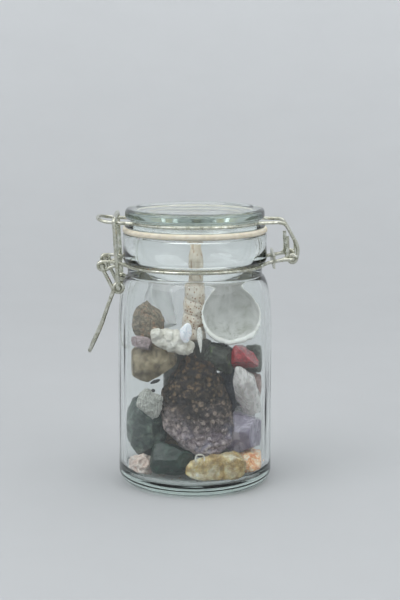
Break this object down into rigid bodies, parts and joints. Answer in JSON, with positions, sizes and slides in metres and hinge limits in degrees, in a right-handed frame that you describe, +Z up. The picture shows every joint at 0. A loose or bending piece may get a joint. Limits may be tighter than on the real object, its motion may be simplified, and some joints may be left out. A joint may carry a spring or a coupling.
{
  "type": "clip-top glass jar",
  "caption": "Clip-top glass storage jar with a hinged glass lid, rubber gasket and wire latch, filled with loose stones, crystals and shells.",
  "frame": {"origin": "middle of the base, on the surface that the jar stands on", "axes": "+Z up, +X towards the lid's hinge, -X towards the latch, -Y towards the viewer"},
  "size_m": [0.1036, 0.076, 0.1364],
  "materials": {
    "jar_glass": "clear, polished",
    "lid_glass": "clear, polished",
    "gasket_rubber": "matte",
    "galvanised_wire": "bright zinc, slightly yellow",
    "clip_steel": "bright zinc",
    "druzy": "knobbly, small crystals",
    "calcite": "waxy, translucent",
    "agate": "mottled, polished",
    "amethyst": "glassy, translucent",
    "quartz": "glassy, milky",
    "slate": "smooth",
    "moss_stone": "rough",
    "jasper": "polished",
    "grey_stone": "matte",
    "pink_stone": "rough",
    "coral": "porous, matte",
    "auger_shell": "worn shell",
    "cup_shell": "glossy inside, matte outside",
    "brown_stone": "rough",
    "lilac": "matte",
    "banded_stone": "polished, banded",
    "green_slab": "mottled, polished",
    "bottle_green": "polished",
    "selenite": "fibrous, silky",
    "rose_shell": "ridged, matte",
    "clear_chunk": "milky, translucent",
    "tan_stone": "matte",
    "back_grey": "matte",
    "back_green": "polished"
  },
  "bodies": {
    "jar": {"jar_body": "jar_glass", "neck_wire": "galvanised_wire", "band_clip": "clip_steel", "druzy_stone": "druzy", "calcite_chunk": "calcite", "agate_chunk": "agate", "amethyst": "amethyst", "quartz_point": "quartz", "slate_stone": "slate", "moss_stone": "moss_stone", "red_jasper": "jasper", "grey_stone": "grey_stone", "pink_stone": "pink_stone", "white_coral": "coral", "auger_shell": "auger_shell", "cup_shell": "cup_shell", "brown_stone": "brown_stone", "lilac_chip": "lilac", "banded_stone": "banded_stone", "green_slab": "green_slab", "bottle_green_stone": "bottle_green", "selenite": "selenite", "rose_shell": "rose_shell", "clear_chunk": "clear_chunk", "back_tan_stone": "tan_stone", "back_grey_stone": "back_grey", "back_green_stone": "back_green"},
    "lid": {"glass_lid": "lid_glass", "gasket": "gasket_rubber", "lid_wire": "galvanised_wire"},
    "lever": {"lever": "galvanised_wire"},
    "pull_loop": {"pull_loop": "galvanised_wire"}
  },
  "joints": [
    {"name": "lid_hinge", "type": "hinge", "parent": "jar", "child": "lid", "pos_m": [0.0473, 0, 0.1124], "axis": [0, 1, 0], "range_deg": [0, 105]},
    {"name": "lever_pivot", "type": "hinge", "parent": "jar", "child": "lever", "pos_m": [-0.0447, 0, 0.1095], "axis": [0, 1, 0], "range_deg": [0, 130], "deforming": ["pull_loop"]},
    {"name": "loop_pivot", "type": "hinge", "parent": "lever", "child": "pull_loop", "pos_m": [-0.0369, 0, 0.0991], "axis": [0, -1, 0], "range_deg": [0, 287]}
  ],
  "couplings": [
    {"joint": "loop_pivot", "follows": "lever_pivot", "ratio": 2.2}
  ]
}
